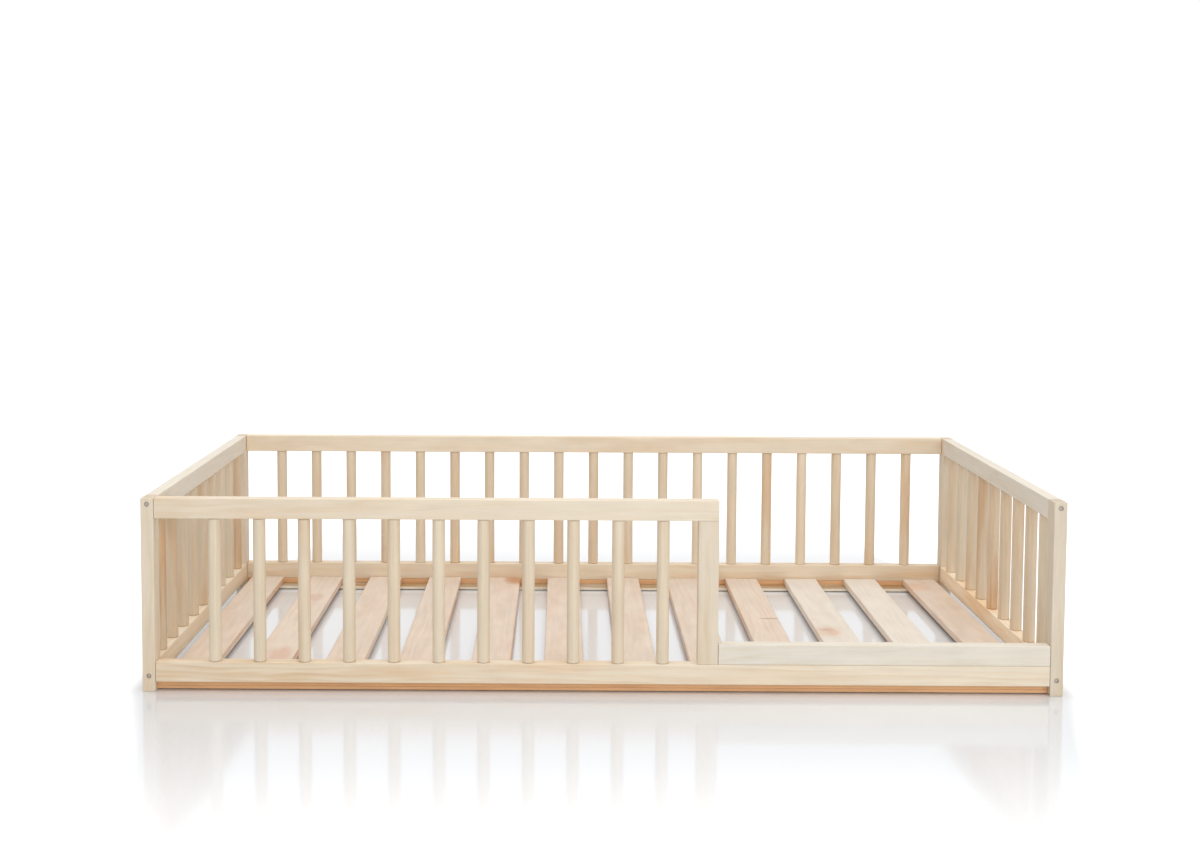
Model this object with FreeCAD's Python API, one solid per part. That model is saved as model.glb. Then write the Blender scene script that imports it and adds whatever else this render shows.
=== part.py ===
import FreeCAD, Part
import math
import os

# A low pine floor bed for a toddler: four posts, a full panel of round spindles on the
# back and both ends, and a front panel that stops at an open doorway. Twelve slats lie
# on ledges under the long rails and carry the mattress just off the floor.
#
# Millimetres. X runs along the bed, Y from the front to the back, Z up. The origin is on
# the floor, in the middle of the bed.

# ---------------------------------------------------------------- driving dimensions
mattress_length = 1900.0
mattress_width = 900.0
mattress_play = 20.0          # room left along and across the mattress
bed_height = 420.0
doorway_width = 712.0         # open length between the stile and the right front post

stock_thickness = 28.0        # planed stock of posts, rails, stile and threshold
stock_width = 44.0
edge_ease = 1.5               # bevel on every edge of the stock
butt_gap = 0.3                # end grain to post, before the screws pull it up

spindle_diameter = 27.0
spindle_tenon_side = 14.0     # square tenon, cut on the end of the round spindle
spindle_tenon_length = 18.0
back_spindle_count = 19
front_spindle_count = 11
front_first_spindle = 127.0   # from the left front post to the first spindle's axis
end_spindle_count = 9
end_first_spindle = 56.0      # from a post to the nearest spindle's axis in an end panel

tenon_play = 0.2              # all round a tenon
tenon_end_play = 1.0          # below a tenon's end
stub_thickness = 12.0         # flat tenons of long rails, stile and threshold
stub_length = 15.0
rail_stub_width = 20.0
rail_stub_inset = 4.0         # from the rail's inner long edge
door_stub_width = 28.0

floor_clearance = 2.0         # air under the ledges
ledge_thickness = 7.0
ledge_overhang = 43.0         # how far a ledge reaches in past the rail to carry slats
batten_height = 12.0
batten_width = 12.0
ledge_ease = 0.8

slat_count = 12
slat_width = 88.0
slat_thickness = 18.0
slat_ease = 2.0
slat_end_play = 2.0           # each end of a slat to the rail
slat_margin = 14.0            # end panel to the first slat

connector_flats = 7.0         # screws that pull the end panels up to the posts
connector_sides = 6           # drawn with flats instead of a thread
connector_reach = 30.0        # into the end rail's end grain
connector_edge = 13.0         # screw axis to the rail's outer long edge
connector_play = 0.2          # from each flat

brad_side = 2.0               # square brads that fix ledges and slats from below
ledge_brad_length = 32.0
ledge_brad_count = 5
slat_brad_length = 18.0
brad_play = 0.1               # all round

# ------------------------------------------------------------------- derived values
inner_length = mattress_length + mattress_play
inner_width = mattress_width + mattress_play
outer_length = inner_length + 2 * stock_thickness
outer_width = inner_width + 2 * stock_thickness

left = -outer_length / 2
right = outer_length / 2
front = -outer_width / 2
back = outer_width / 2
inner_left = left + stock_thickness
inner_right = right - stock_thickness
inner_front = front + stock_thickness
inner_back = back - stock_thickness
end_front = front + stock_width       # behind the front posts, where the end rails start
end_back = back - stock_width

slat_bottom = floor_clearance + ledge_thickness
slat_top = slat_bottom + slat_thickness
low_rail_bottom = slat_bottom + batten_height
low_rail_top = low_rail_bottom + stock_width
high_rail_bottom = bed_height - stock_width
threshold_top = low_rail_top + stock_width
doorway_left = inner_right - doorway_width
stile_left = doorway_left - stock_width
stile_axis = doorway_left - stock_width / 2

half_stock = stock_thickness / 2
front_axis = front + half_stock       # middle of the front panel's thickness
back_axis = back - half_stock
left_axis = left + half_stock
right_axis = right - half_stock

Y_AXIS = FreeCAD.Vector(0, 1, 0)


# ------------------------------------------------------------------- basic operations
def point(x, y, z):
    return FreeCAD.Vector(x, y, z)


def spread(first, last, count):
    """Evenly spaced places from first to last, both ends included."""
    step = (last - first) / (count - 1)
    return [first + step * i for i in range(count)]


def block(low, high):
    size = high - low
    return Part.makeBox(size.x, size.y, size.z, low)


def block_around(centre, x_size, y_size, z_size):
    half = point(x_size / 2, y_size / 2, z_size / 2)
    return block(centre - half, centre + half)


def planed_board(low, high, ease):
    """A board between two corners, with a small bevel on all its edges."""
    board = block(low, high)
    return board.makeChamfer(ease, board.Edges)


def cut_holes(wood, holes):
    """The board less every hole that reaches it."""
    reaching = [hole for hole in holes if hole.BoundBox.intersect(wood.BoundBox)]
    if not reaching:
        return wood
    return wood.cut(Part.makeCompound(reaching)).Solids[0]


# --------------------------------------------------------------------------- spindles
def spindle(x, y):
    """A round spindle between two rails, with a square tenon standing in each rail."""
    shoulders = high_rail_bottom - low_rail_top
    body = Part.makeCylinder(spindle_diameter / 2, shoulders, point(x, y, low_rail_top))
    middle = point(x, y, (low_rail_top + high_rail_bottom) / 2)
    side = spindle_tenon_side
    heart = block_around(middle, side, side, shoulders + 2 * spindle_tenon_length)
    return body.fuse(heart).removeSplitter().Solids[0]


def spindle_mortises(x, y):
    """The square blind holes that take one spindle's two tenons."""
    side = spindle_tenon_side + 2 * tenon_play
    depth = spindle_tenon_length + tenon_end_play
    return [
        block_around(point(x, y, low_rail_top - depth / 2), side, side, depth),
        block_around(point(x, y, high_rail_bottom + depth / 2), side, side, depth),
    ]


front_places = spread(inner_left + front_first_spindle, stile_axis,
                      front_spindle_count + 1)[:-1]
back_places = spread(inner_left, inner_right, back_spindle_count + 2)[1:-1]
end_places = spread(end_front + end_first_spindle, end_back - end_first_spindle,
                    end_spindle_count)

front_spots = [(x, front_axis) for x in front_places]
back_spots = [(x, back_axis) for x in back_places]
left_spots = [(left_axis, y) for y in end_places]
right_spots = [(right_axis, y) for y in end_places]

mortises = []
for spot in front_spots + back_spots + left_spots + right_spots:
    mortises += spindle_mortises(*spot)

# ------------------------------------------------------------------------ flat tenons
def stub(shoulder, along_x, width, play=0.0, end_play=0.0):
    """A flat tenon, or with play its mortise, reaching both ways from a shoulder."""
    length = 2 * (stub_length + end_play)
    thickness = stub_thickness + 2 * play
    if along_x:
        return block_around(shoulder, length, thickness, width + 2 * play)
    return block_around(shoulder, width + 2 * play, thickness, length)


def stub_mortises(shoulders, along_x, width):
    return [stub(place, along_x, width, tenon_play, tenon_end_play) for place in shoulders]


def with_tenons(wood, shoulders, along_x, width):
    for place in shoulders:
        wood = wood.fuse(stub(place, along_x, width))
    return wood.removeSplitter().Solids[0]


# Tenons of the long rails keep to the rails' inner long edges, clear of the connectors.
stub_offset = rail_stub_inset + rail_stub_width / 2
low_stub_height = low_rail_top - stub_offset
high_stub_height = high_rail_bottom + stub_offset

rail_stubs = {
    "front_bottom_rail": [point(inner_left, front_axis, low_stub_height),
                          point(inner_right, front_axis, low_stub_height)],
    "front_top_rail": [point(inner_left, front_axis, high_stub_height)],
    "back_bottom_rail": [point(inner_left, back_axis, low_stub_height),
                         point(inner_right, back_axis, low_stub_height)],
    "back_top_rail": [point(inner_left, back_axis, high_stub_height),
                      point(inner_right, back_axis, high_stub_height)],
}
stile_stubs = [point(stile_axis, front_axis, low_rail_top),
               point(stile_axis, front_axis, high_rail_bottom)]
threshold_middle = (low_rail_top + threshold_top) / 2
threshold_stubs = [point(doorway_left, front_axis, threshold_middle),
                   point(inner_right, front_axis, threshold_middle)]

stile_mortises = stub_mortises(stile_stubs, False, door_stub_width)
threshold_mortises = stub_mortises(threshold_stubs, True, door_stub_width)
post_mortises = threshold_mortises[1:]
for shoulders in rail_stubs.values():
    post_mortises += stub_mortises(shoulders, True, rail_stub_width)

# --------------------------------------------------- connector screws through the posts
connector_length = stock_width + connector_reach


def connector(face, axis, play=0.0, end_play=0.0):
    """A connector screw that starts at a post's face, or with play the hole for it."""
    radius = (connector_flats / 2 + play) / math.cos(math.pi / connector_sides)
    turns = [2 * math.pi * i / connector_sides for i in range(connector_sides + 1)]
    corners = [face + point(radius * math.cos(turn), 0, radius * math.sin(turn))
               for turn in turns]
    outline = Part.Face(Part.makePolygon(corners))
    return outline.extrude(axis * (connector_length + end_play))


connector_places = []
for z in (low_rail_bottom + connector_edge, bed_height - connector_edge):
    for x in (left_axis, right_axis):
        connector_places.append((point(x, front, z), Y_AXIS))
        connector_places.append((point(x, back, z), -Y_AXIS))

connector_holes = [connector(*place, connector_play, tenon_end_play)
                   for place in connector_places]

# ------------------------------------------------------- brads under ledges and slats
ledge_sides = {
    "front": (inner_front, 1),
    "back": (inner_back, -1),
}

slat_places = spread(inner_left + slat_margin,
                     inner_right - slat_margin - slat_width, slat_count)

ledge_brads = []
slat_brads = []
for face, inward in ledge_sides.values():
    for i in range(ledge_brad_count):
        x = inner_left + inner_length * (i + 0.5) / ledge_brad_count
        ledge_brads.append((x, face - inward * batten_width / 2, ledge_brad_length))
    for x in slat_places:
        slat_brads.append((x + slat_width / 2, face + inward * ledge_overhang / 2,
                           slat_brad_length))


def brad(x, y, length, play=0.0):
    """A square brad driven up from a ledge's underside, or with play its hole."""
    side = brad_side + 2 * play
    middle = point(x, y, floor_clearance + length / 2)
    return block_around(middle, side, side, length + 2 * play)


ledge_brad_holes = [brad(*place, brad_play) for place in ledge_brads]
slat_brad_holes = [brad(*place, brad_play) for place in slat_brads]

# ------------------------------------------------------------------- wooden members
rail_holes = mortises + stile_mortises + connector_holes + ledge_brad_holes


def stock(low, high):
    return planed_board(low, high, edge_ease)


def long_rail(y, bottom, x_start, x_end, stubs):
    rail = stock(point(x_start, y - half_stock, bottom),
                 point(x_end, y + half_stock, bottom + stock_width))
    return cut_holes(with_tenons(rail, stubs, True, rail_stub_width), rail_holes)


pieces = {}

for side, x in (("left", left_axis), ("right", right_axis)):
    for place, y_start in (("front", front), ("back", end_back)):
        pieces[f"{place}_{side}_post"] = [cut_holes(
            stock(point(x - half_stock, y_start, 0),
                  point(x + half_stock, y_start + stock_width, bed_height)),
            post_mortises + connector_holes)]
    for level, bottom in (("bottom", low_rail_bottom), ("top", high_rail_bottom)):
        pieces[f"{side}_{level}_rail"] = [cut_holes(
            stock(point(x - half_stock, end_front + butt_gap, bottom),
                  point(x + half_stock, end_back - butt_gap, bottom + stock_width)),
            rail_holes)]

rail_start = inner_left + butt_gap
rail_end = inner_right - butt_gap
for name, stubs in rail_stubs.items():
    y = front_axis if name.startswith("front") else back_axis
    bottom = high_rail_bottom if name.endswith("top_rail") else low_rail_bottom
    x_end = doorway_left if name == "front_top_rail" else rail_end
    pieces[name] = [long_rail(y, bottom, rail_start, x_end, stubs)]

stile = stock(point(stile_left, front, low_rail_top),
              point(doorway_left, inner_front, high_rail_bottom))
pieces["doorway_stile"] = [cut_holes(
    with_tenons(stile, stile_stubs, False, door_stub_width), threshold_mortises)]
threshold = stock(point(doorway_left, front, low_rail_top),
                  point(rail_end, inner_front, threshold_top))
pieces["doorway_threshold"] = [
    with_tenons(threshold, threshold_stubs, True, door_stub_width)]

for number, spot in enumerate(front_spots, start=1):
    pieces[f"front_spindle_{number:02d}"] = [spindle(*spot)]
pieces["back_spindles"] = [spindle(*spot) for spot in back_spots]
pieces["left_spindles"] = [spindle(*spot) for spot in left_spots]
pieces["right_spindles"] = [spindle(*spot) for spot in right_spots]

# ------------------------------------------------------------------ ledges and slats
for side, (face, inward) in ledge_sides.items():
    outer = face - inward * batten_width
    inner = face + inward * ledge_overhang
    pieces[f"{side}_ledge"] = [cut_holes(
        planed_board(point(rail_start, min(outer, inner), floor_clearance),
                     point(rail_end, max(outer, inner), slat_bottom), ledge_ease),
        ledge_brad_holes + slat_brad_holes)]
    pieces[f"{side}_ledge_batten"] = [cut_holes(
        planed_board(point(rail_start, min(outer, face), slat_bottom),
                     point(rail_end, max(outer, face), low_rail_bottom), ledge_ease),
        ledge_brad_holes)]

for number, x in enumerate(slat_places, start=1):
    pieces[f"slat_{number:02d}"] = [cut_holes(
        planed_board(point(x, inner_front + slat_end_play, slat_bottom),
                     point(x + slat_width, inner_back - slat_end_play, slat_top), slat_ease),
        slat_brad_holes)]

# ------------------------------------------------------------------------- fastenings
pieces["connector_screws"] = [connector(*place) for place in connector_places]
pieces["ledge_brads"] = [brad(*place) for place in ledge_brads]
pieces["slat_brads"] = [brad(*place) for place in slat_brads]

# ----------------------------------------------------------------------------- export
os.makedirs("parts", exist_ok=True)
for name, solids in pieces.items():
    shape = solids[0] if len(solids) == 1 else Part.makeCompound(solids)
    shape.exportStep(f"parts/{name}.step")

print(f"{len(pieces)} nodes, {sum(len(solids) for solids in pieces.values())} solids")
print(f"outside {outer_length:.0f} x {outer_width:.0f} x {bed_height:.0f} mm")
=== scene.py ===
# %% [markdown]
# # A low pine bed with spindle panels
#
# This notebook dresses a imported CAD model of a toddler's floor bed and puts it in a white
# studio. The CAD model says where every board, spindle and screw is. Blender adds what a
# planer, a lathe and a sheet of sandpaper leave behind: softened edges, growth rings,
# darker end grain, and steel screw heads. We start by loading the model, because every
# later cell takes its sizes from it.

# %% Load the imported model
import itertools

import bpy
import numpy as np
from mathutils import Matrix, Vector


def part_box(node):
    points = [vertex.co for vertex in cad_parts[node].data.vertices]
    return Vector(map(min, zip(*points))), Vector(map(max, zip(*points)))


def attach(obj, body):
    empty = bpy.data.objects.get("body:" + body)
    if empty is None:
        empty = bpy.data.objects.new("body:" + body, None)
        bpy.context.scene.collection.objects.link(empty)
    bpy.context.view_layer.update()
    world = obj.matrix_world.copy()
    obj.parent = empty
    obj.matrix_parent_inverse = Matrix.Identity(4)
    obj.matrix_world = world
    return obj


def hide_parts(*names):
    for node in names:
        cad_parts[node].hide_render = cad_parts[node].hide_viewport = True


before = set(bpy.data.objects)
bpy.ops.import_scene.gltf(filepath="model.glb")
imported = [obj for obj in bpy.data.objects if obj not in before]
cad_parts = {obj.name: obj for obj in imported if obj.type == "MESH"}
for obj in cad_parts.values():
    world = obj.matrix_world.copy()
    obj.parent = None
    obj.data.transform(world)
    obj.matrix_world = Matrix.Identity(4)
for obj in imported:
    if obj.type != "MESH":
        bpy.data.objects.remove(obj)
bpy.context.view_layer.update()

MM = 0.001
print("nodes in the packed model:", len(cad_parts))


# %% [markdown]
# ## Reading sizes from the CAD nodes
#
# A board is described by two corners. Most nodes are a single board, so their box is the
# board. The long rails, the stile and the threshold carry tenons that stand inside their
# neighbours, so those take their ends from the face that the shoulder meets instead.

# %% Boxes of the nodes
def node_box(node):
    """Lowest and highest corner of a CAD node, as two arrays in metres."""
    low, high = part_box(node)
    return np.array(low, float), np.array(high, float)


post_low, post_high = node_box("front_left_post")
INNER_LEFT = post_high[0]
INNER_RIGHT = node_box("front_right_post")[0][0]
BACK = node_box("back_left_post")[1][1]
LOW_RAIL_TOP = node_box("front_bottom_rail")[1][2]
HIGH_RAIL_BOTTOM = node_box("front_top_rail")[0][2]
print(f"posts are {(post_high[0] - post_low[0]) / MM:.0f} mm thick")
print(f"the low rails end at {LOW_RAIL_TOP / MM:.0f} mm")
print(f"spindles show for {(HIGH_RAIL_BOTTOM - LOW_RAIL_TOP) / MM:.0f} mm")


# %% [markdown]
# ## Colour
#
# Colours are picked on a screen, and a screen's numbers are not amounts of light.
# One function turns a screen colour into the linear amounts that Blender's shaders want.

# %% From a screen colour to linear light
def linear(hex_colour):
    """The sRGB curve undone: c / 12.92 near black, else ((c + 0.055) / 1.055) ** 2.4."""
    channels = np.array([int(hex_colour[i:i + 2], 16) / 255 for i in (0, 2, 4)])
    low = channels / 12.92
    high = ((channels + 0.055) / 1.055) ** 2.4
    return [float(c) for c in np.where(channels <= 0.04045, low, high)] + [1.0]


print("a pale pine, in linear light:", [round(c, 3) for c in linear("E6D0AA")])


# %% [markdown]
# ## One helper for shader nodes
#
# A material is a graph. Each call below adds one node, sets its plain properties, and
# fills its inputs either with a constant or with a link from another node's output.
#
# The settings are a dictionary of properties, or only the name of a math node's
# operation. Values fill the inputs in order, or by name, or by number as in In_6. A node
# that is given as a value stands for its first output.

# %% Add a node, set it up and link it
SMOOTH = {"interpolation_type": "SMOOTHSTEP"}
COLOUR = {"data_type": "RGBA"}
CLAMPED = {"operation": "MULTIPLY", "use_clamp": True}


def add(tree, kind, settings=None, *values, **named):
    """Adds one node to a graph and returns it."""
    node = tree.nodes.new("ShaderNode" + kind)
    if isinstance(settings, str):
        settings = {"operation": settings}
    for key, value in (settings or {}).items():
        setattr(node, key, value)
    for key, value in [*enumerate(values), *named.items()]:
        if isinstance(key, str):
            key = int(key[3:]) if key[:3] == "In_" else key.replace("_", " ")
        if isinstance(value, bpy.types.Node):
            value = value.outputs[0]
        if isinstance(value, bpy.types.NodeSocket):
            tree.links.new(value, node.inputs[key])
        else:
            node.inputs[key].default_value = value
    return node


def empty_graph(owner):
    """The graph of a new material or world, with no nodes in it."""
    owner.use_nodes = True
    owner.node_tree.nodes.clear()
    return owner.node_tree


# %% [markdown]
# ## Pine, from the log outwards
#
# Pine is a softwood. Each year it lays down a broad pale ring and a thin darker one. A
# board is a slice through those rings, so the wavy bands on its face and the arcs on its
# end are one and the same pattern, cut in two directions.
#
# We could paint bands on each face, but they wouldn't meet at the edges. Instead every
# piece carries an attribute called *log*: where each point lay in its tree, in metres,
# with the first number along the trunk and the other two measured from the tree's heart.
# The distance from the heart gives the ring. A second attribute, *batch*, holds how
# orange, how dark and how strongly figured that stick of wood is, because no two are
# alike. In a few places it also holds painted shade and painted light, point by point.

# %% Noises that run along the log
# How often each repeats in a metre of trunk and across it, its detail and roughness.
NOISES = {
    "sway": ((2.6, 15, 15), 2.5, 0.55),  # rings wander
    "fibre": ((11, 330, 330), 5.0, 0.62),  # streaks 3 mm wide and finer
    "fade": ((3.1, 24, 24), 2.0, 0.5),  # rings show more in some places
    "cloud": ((3.4, 34, 34), 3.0, 0.5),  # heartwood
    "blotch": ((11, 30, 30), 3.0, 0.5),  # uneven tone
}


def log_noises(tree):
    """Returns the log vector and all five noises, each a number from 0 to 1."""
    log = add(tree, "Attribute", {"attribute_name": "log"}).outputs["Vector"]
    noises = {}
    for name, (scale, detail, roughness) in NOISES.items():
        drawn = add(tree, "Mapping", Vector=log, Scale=scale)
        noises[name] = add(tree, "TexNoise", Vector=drawn, Scale=1.0, Detail=detail,
                           Roughness=roughness)
    return log, noises


# %% The ring pattern that all woods share
LATE_CURVE = 1.3  # above 1, the dark wood begins later in the year
DARKEST = 0.62  # the part of the year's growth after which the dark fades out


def ring_pattern(tree, log, sway, ring_mm, wander_mm):
    """The share of dark late wood, 0 to 1, at each distance from the log's heart."""
    across = add(tree, "VectorMath", "MULTIPLY", log, (0, 1, 1))
    radius = add(tree, "VectorMath", "LENGTH", across).outputs["Value"]
    bent = add(tree, "Math", "MULTIPLY_ADD", sway, 2 * wander_mm * MM, radius)
    years = add(tree, "Math", "DIVIDE", bent, ring_mm * MM)
    season = add(tree, "Math", "FRACT", years)
    late = add(tree, "Math", "POWER", season, LATE_CURVE)
    winter = add(tree, "MapRange", SMOOTH, season, From_Min=DARKEST, From_Max=1.0,
                 To_Min=1.0, To_Max=0.0)
    return add(tree, "Math", "MULTIPLY", late, winter)


# %% [markdown]
# ### The wood materials
#
# All pieces of the bed are bare pine, planed or sanded and left without varnish. What
# differs is the cut and the stick: the frame's stock is the palest, spindles come from
# more mixed wood, slats are a pinker, cheaper grade, and the ledges below are orange
# heartwood, partly painted: their strong orange also stands for warm light bounced in the
# shade under the rails. End grain drinks light, so it is darker than the faces beside it.
#
# A pine year ring is about 2 to 4 mm wide, but a picture of a whole bed has one pixel
# for every 2 mm. So the rings are drawn 9 to 15 mm apart on frame, spindles and slats,
# about the width of the bands that show on the real faces, and 4 to 6 mm apart on ledges
# and end grain. Fibres are drawn up to 3 mm apart instead of 0.05 mm.

# %% A bare softwood
RING_RELIEF = 0.6  # late wood is harder and stands up, by this share of the fibres
RAGGED = 0.9  # how far the noise pulls a mark's rim out of its oval


def bare_wood(name, pale, late, heart, ring_mm=15.0, wander_mm=30.0, ring_strength=0.6,
              roughness=0.56, relief_mm=0.05, mottle=0.03, marks=()):
    """Pale early wood, darker late wood, and orange heartwood in slow patches.

    Marks are knots and stains: place x, y, half size x, y in millimetres, colour, amount.
    """
    material = bpy.data.materials.new(name)
    tree = empty_graph(material)
    log, noise = log_noises(tree)
    rings = ring_pattern(tree, log, noise["sway"], ring_mm, wander_mm)
    batch = add(tree, "Attribute", {"attribute_name": "batch"}).outputs["Vector"]
    orange, dark, figure = add(tree, "SeparateXYZ", Vector=batch).outputs

    # Ring contrast comes and goes along the board, so the bands look drawn by hand, and
    # a stick with a high third number shows them more.
    strength = add(tree, "MapRange", Value=noise["fade"], From_Min=0.34, From_Max=0.66,
                   To_Min=0.12 * ring_strength, To_Max=ring_strength)
    figured = add(tree, "Math", "MULTIPLY_ADD", figure, strength, strength)
    amount = add(tree, "Math", CLAMPED, rings, figured)
    wood = add(tree, "Mix", COLOUR, amount, In_6=linear(pale), In_7=linear(late))

    # Heartwood: long soft patches, more of them in a stick with a high first number.
    edge = add(tree, "MapRange", SMOOTH, noise["cloud"], From_Min=0.42, From_Max=0.66,
               To_Min=0.25, To_Max=1.0)
    warmth = add(tree, "Math", CLAMPED, edge, orange)
    wood = add(tree, "Mix", COLOUR, warmth, In_6=wood.outputs[2], In_7=linear(heart))

    # Knots and stains are soft ovals that the heartwood's noise pulls out of shape.
    place = add(tree, "TexCoord").outputs["Object"] if marks else None
    for x, y, half_x, half_y, colour, share in marks:
        near = add(tree, "VectorMath", "SUBTRACT", place, (x * MM, y * MM, 0))
        near = add(tree, "VectorMath", "MULTIPLY", near,
                   (1 / (half_x * MM), 1 / (half_y * MM), 0))
        near = add(tree, "VectorMath", "LENGTH", near).outputs["Value"]
        ragged = add(tree, "Math", "MULTIPLY_ADD", noise["cloud"], RAGGED, near)
        inside = add(tree, "MapRange", SMOOTH, ragged, From_Min=0.75, From_Max=1.45,
                     To_Min=share, To_Max=0.0)
        wood = add(tree, "Mix", COLOUR, inside, In_6=wood.outputs[2],
                   In_7=linear(colour))

    # Fibres and blotches shift the brightness by a few percent, and each stick has its
    # own level.
    level = add(tree, "MapRange", Value=noise["fibre"], From_Min=0.25, From_Max=0.75,
                To_Min=0.945, To_Max=1.035)
    uneven = add(tree, "MapRange", Value=noise["blotch"], From_Min=0.3, From_Max=0.7,
                 To_Min=-mottle, To_Max=mottle)
    both = add(tree, "Math", "ADD", level, uneven)
    stick = add(tree, "Math", "SUBTRACT", both, dark)
    toned = add(tree, "VectorMath", "SCALE", wood.outputs[2], Scale=stick)

    # Planed pine is dull. Its relief is a few hundredths of a millimetre.
    dull = add(tree, "MapRange", Value=noise["fibre"], From_Min=0.2, From_Max=0.8,
               To_Min=roughness - 0.06, To_Max=roughness + 0.08)
    pores = add(tree, "Math", "MULTIPLY_ADD", rings, RING_RELIEF, noise["fibre"])
    bump = add(tree, "Bump", Strength=0.6, Distance=relief_mm * MM, Height=pores)
    skin = add(tree, "BsdfPrincipled", Base_Color=toned, Roughness=dull, Normal=bump,
               IOR=1.5)
    add(tree, "OutputMaterial", Surface=skin)
    return material


# %% The woods of the bed
# Frame stock, planed on a machine and sanded.
planed_pine = bare_wood("planed pine", "EBDEC9", "D5B688", "D9AB72")
# The same planed stock from the outside of the log, whiter.
sapwood_pine = bare_wood("planed pine sapwood", "EAE2D4", "DCC9A9", "D9B587")
# Dowels, turned through a cutter and sanded smooth.
sanded_pine = bare_wood("sanded pine spindle", "E7D8C0", "D6B88A", "CF9A60",
                        ring_mm=9.0, wander_mm=12.0, relief_mm=0.03)
# Slats, sawn and only lightly planed, with the knots and stains that show in the photo.
sawn = {"roughness": 0.66, "relief_mm": 0.10}
marks = [(430, 35, 34, 8, "94775C", 0.6), (-726, -295, 38, 75, "D9A88E", 0.5),
         (-731, 222, 30, 60, "C99A7C", 0.35), (-212, 424, 42, 66, "C68A58", 0.8),
         (874, 369, 45, 60, "DFAE8A", 0.45)]
slat_pine = bare_wood("rough pine slat", "E3D3C2", "D3B196", "D39A66", ring_strength=0.5,
                      mottle=0.05, marks=marks, **sawn)
marks = [(556, -75, 44, 66, "D9B598", 0.55), (556, -66, 24, 18, "BF9C84", 0.5),
         (568, -90, 20, 26, "DBAE94", 0.5)]
pale_slat_pine = bare_wood("rough pine slat sapwood", "E6DCCF", "D5BDA6", "D0A585",
                           ring_strength=0.4, mottle=0.04, marks=marks, **sawn)
# Ledges and battens from the orange middle of the log. Part of their strong orange is
# painted warm bounce light from the shade under the rails.
ledge_pine_with_painted_bounce = bare_wood("orange ledge pine with painted bounce light", "EBBB8B", "D0945E", "CC8A50",
                       ring_mm=6.0, wander_mm=8.0, roughness=0.62, mottle=0.05)
# The ends of all boards, where the saw cut across the fibres.
end_grain = bare_wood("pine end grain", "E0D2BC", "C9B292", "C0A27C", ring_mm=4.0,
                      wander_mm=3.0, ring_strength=0.7, roughness=0.74, relief_mm=0.12)
print("woods:", [m.name for m in bpy.data.materials])


# %% [markdown]
# ### Zinc-plated steel
#
# The connector screws are steel with a bright zinc coat, pressed and then tumbled. That
# gives a grey metal that isn't quite mirror smooth, with a fine grain about 1 mm wide.

# %% Steel for screws and brads
def plated_steel(name):
    """A metal: grey reflections, blurred a little by the grain of the plating."""
    material = bpy.data.materials.new(name)
    tree = empty_graph(material)
    place = add(tree, "TexCoord").outputs["Object"]
    grit = add(tree, "TexNoise", Vector=place, Scale=900.0, Detail=2.0)
    dull = add(tree, "MapRange", Value=grit, From_Min=0.3, From_Max=0.7, To_Min=0.30,
               To_Max=0.44)
    shade = add(tree, "Mix", COLOUR, grit, In_6=linear("8E8885"), In_7=linear("A7A19E"))
    skin = add(tree, "BsdfPrincipled", Base_Color=shade.outputs[2], Metallic=1.0,
               Roughness=dull)
    add(tree, "OutputMaterial", Surface=skin)
    return material


zinc_steel = plated_steel("zinc-plated steel")


# %% [markdown]
# ## From arrays to a mesh
#
# Every new piece is a grid of points worked out by numpy. One function turns the points
# and faces into a Blender mesh and stores the two wood attributes on it.
#
# It also stores the direction that the surface faces at each point. Blender would guess
# it from the faces around a point, and then a flat face that ends in a small round edge
# looks like a pillow. Our formulas know the direction exactly.

# %% Faces of a tube of rings
def side_faces(rings, around):
    """Quads between neighbouring rings of a closed tube, turned to face outwards."""
    i, j = np.meshgrid(np.arange(rings - 1), np.arange(around), indexing="ij")
    k = (j + 1) % around
    quads = np.stack([i * around + j, i * around + k, (i + 1) * around + k,
                      (i + 1) * around + j], axis=-1)
    return quads.reshape(-1, 4)


def end_faces(rings, around):
    """One face over the first ring and one over the last."""
    last = (rings - 1) * around
    return [list(range(around))[::-1], list(range(last, last + around))]


def tube_faces(rings, around, outwards, first=0):
    """Sides, then both ends. Inside-out ones are turned, and points count from first."""
    faces = side_faces(rings, around).tolist() + end_faces(rings, around)
    if not outwards:
        faces = [face[::-1] for face in faces]
    return [[first + i for i in face] for face in faces]


# %% Put arrays into a mesh
def set_normals(mesh, normals, smooth):
    """Corners of smooth faces take their point's normal, the others their face's own."""
    corner_point = np.empty(len(mesh.loops), np.int32)
    mesh.loops.foreach_get("vertex_index", corner_point)
    sizes = np.empty(len(mesh.polygons), np.int32)
    mesh.polygons.foreach_get("loop_total", sizes)
    corner_face = np.repeat(np.arange(len(sizes)), sizes)
    flat = np.empty(3 * len(sizes), np.float32)
    mesh.polygons.foreach_get("normal", flat)
    chosen = np.where(np.asarray(smooth)[corner_face][:, None],
                      np.asarray(normals)[corner_point], flat.reshape(-1, 3)[corner_face])
    mesh.normals_split_custom_set(chosen.tolist())


def open_edges(piece):
    """How many edges don't have a face on each side: 0 for a closed surface."""
    edge = np.empty(len(piece.data.loops), np.int32)
    piece.data.loops.foreach_get("edge_index", edge)
    return int((np.bincount(edge) != 2).sum())


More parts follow.
